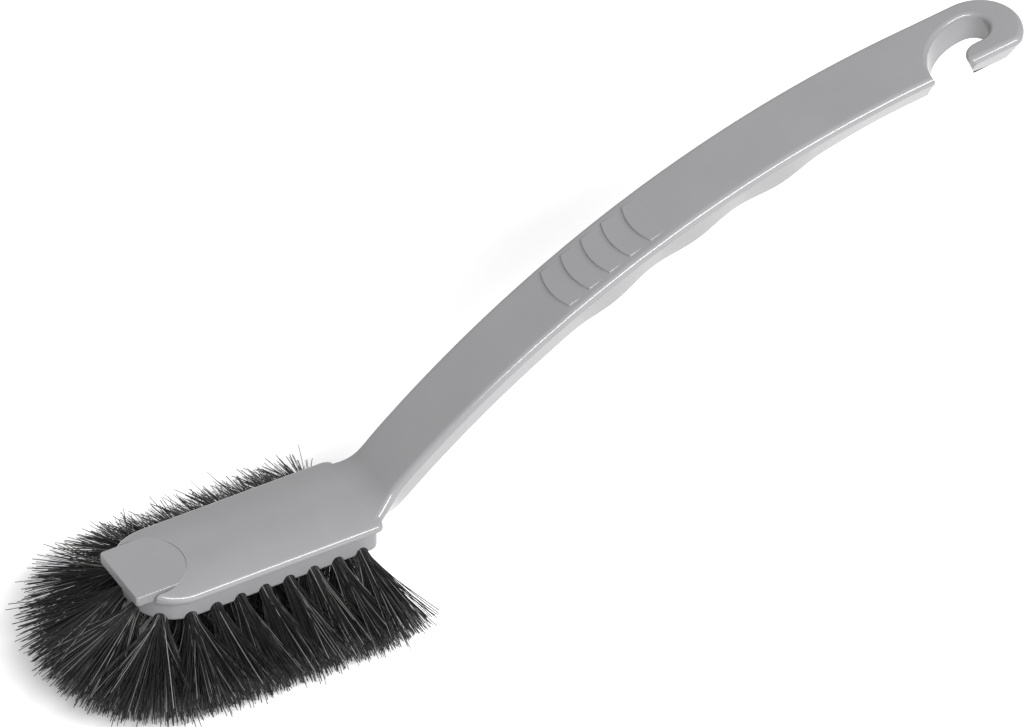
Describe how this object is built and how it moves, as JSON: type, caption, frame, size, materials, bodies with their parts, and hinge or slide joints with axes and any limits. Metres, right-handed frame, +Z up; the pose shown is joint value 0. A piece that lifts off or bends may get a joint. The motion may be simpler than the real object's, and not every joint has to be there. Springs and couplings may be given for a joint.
{
  "type": "scrubbing brush",
  "caption": "Hand scrubbing brush: a round-nosed head with a flat scraper lip and splayed bristle tufts, and an arched handle with finger waves, thumb ridges and a hook end.",
  "frame": {"origin": "middle of the flat strip along the head's crowned top", "axes": "+Z up out of the head's top, +X along the brush from the head to the hook, -Y the side that the hook's mouth opens to"},
  "size_m": [0.2925, 0.0732, 0.1154],
  "materials": {
    "body_plastic": "satin moulded grey",
    "bristle": "black filament with a slight gloss",
    "anchor_wire": "flat drawn wire"
  },
  "bodies": {
    "root": {"brush_body": "body_plastic", "tuft_outer_01": "bristle", "tuft_outer_02": "bristle", "tuft_outer_03": "bristle", "tuft_outer_04": "bristle", "tuft_outer_05": "bristle", "tuft_outer_06": "bristle", "tuft_outer_07": "bristle", "tuft_outer_08": "bristle", "tuft_outer_09": "bristle", "tuft_outer_10": "bristle", "tuft_outer_11": "bristle", "tuft_outer_12": "bristle", "tuft_outer_13": "bristle", "tuft_outer_14": "bristle", "tuft_outer_15": "bristle", "tuft_outer_16": "bristle", "tuft_outer_17": "bristle", "tuft_outer_18": "bristle", "tuft_outer_19": "bristle", "tuft_outer_20": "bristle", "tuft_inner_01": "bristle", "tuft_inner_02": "bristle", "tuft_inner_03": "bristle", "tuft_inner_04": "bristle", "tuft_inner_05": "bristle", "tuft_inner_06": "bristle", "tuft_inner_07": "bristle", "tuft_inner_08": "bristle", "tuft_inner_09": "bristle", "anchor_outer_01": "anchor_wire", "anchor_outer_02": "anchor_wire", "anchor_outer_03": "anchor_wire", "anchor_outer_04": "anchor_wire", "anchor_outer_05": "anchor_wire", "anchor_outer_06": "anchor_wire", "anchor_outer_07": "anchor_wire", "anchor_outer_08": "anchor_wire", "anchor_outer_09": "anchor_wire", "anchor_outer_10": "anchor_wire", "anchor_outer_11": "anchor_wire", "anchor_outer_12": "anchor_wire", "anchor_outer_13": "anchor_wire", "anchor_outer_14": "anchor_wire", "anchor_outer_15": "anchor_wire", "anchor_outer_16": "anchor_wire", "anchor_outer_17": "anchor_wire", "anchor_outer_18": "anchor_wire", "anchor_outer_19": "anchor_wire", "anchor_outer_20": "anchor_wire", "anchor_inner_01": "anchor_wire", "anchor_inner_02": "anchor_wire", "anchor_inner_03": "anchor_wire", "anchor_inner_04": "anchor_wire", "anchor_inner_05": "anchor_wire", "anchor_inner_06": "anchor_wire", "anchor_inner_07": "anchor_wire", "anchor_inner_08": "anchor_wire", "anchor_inner_09": "anchor_wire"}
  },
  "joints": []
}
